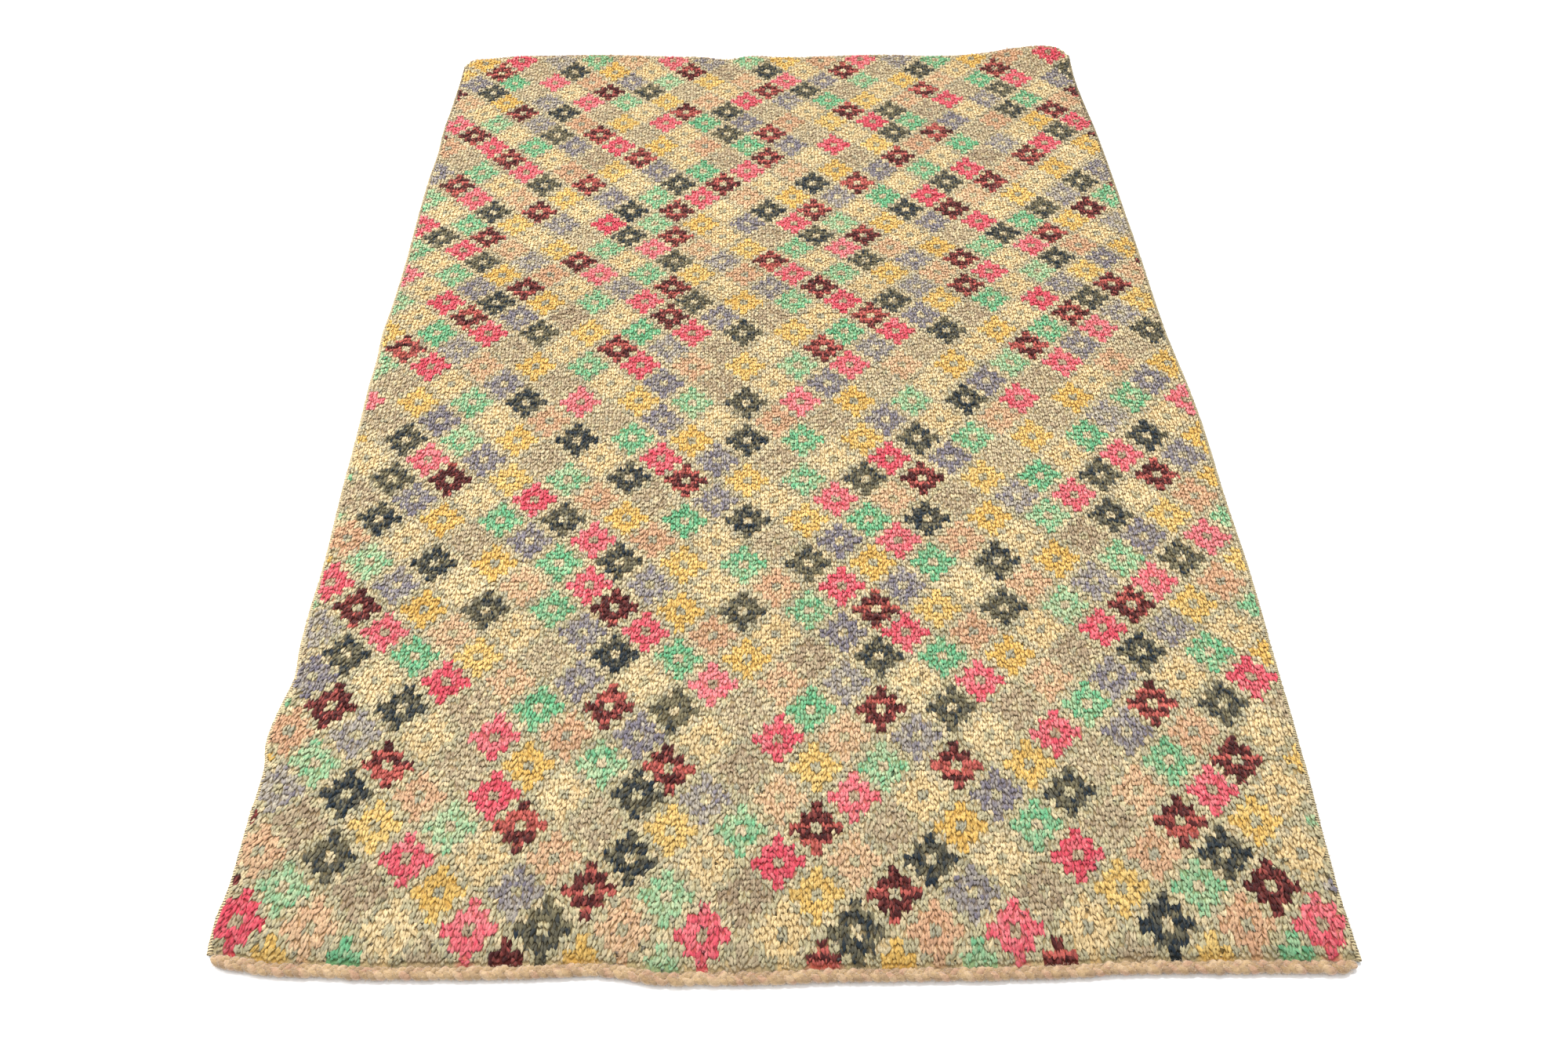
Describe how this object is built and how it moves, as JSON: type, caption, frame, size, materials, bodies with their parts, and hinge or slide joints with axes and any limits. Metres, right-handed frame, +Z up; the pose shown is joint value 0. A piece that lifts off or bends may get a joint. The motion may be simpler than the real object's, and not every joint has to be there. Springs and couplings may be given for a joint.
{
  "type": "baluch rug",
  "caption": "Rectangular hand-knotted wool pile rug with rows of stepped lozenges, overcast side cords and plaited end cords, lying flat with its far end curling up.",
  "frame": {"origin": "on the floor under the middle of the rug's outline", "axes": "+Z up out of the pile, +Y along the rug's length towards the end that curls up, +X to the right"},
  "size_m": [1.2481, 1.9486, 0.0437],
  "materials": {
    "pile": "matte wool pile in many colours on a sage and cream ground",
    "selvage": "matte overcast wool thread",
    "warp_cord": "matte undyed wool, plaited and a little fuzzy"
  },
  "bodies": {
    "root": {"rug_body": "pile", "selvage_left": "selvage", "selvage_right": "selvage", "end_cord_front": "warp_cord", "end_cord_back": "warp_cord"}
  },
  "joints": []
}
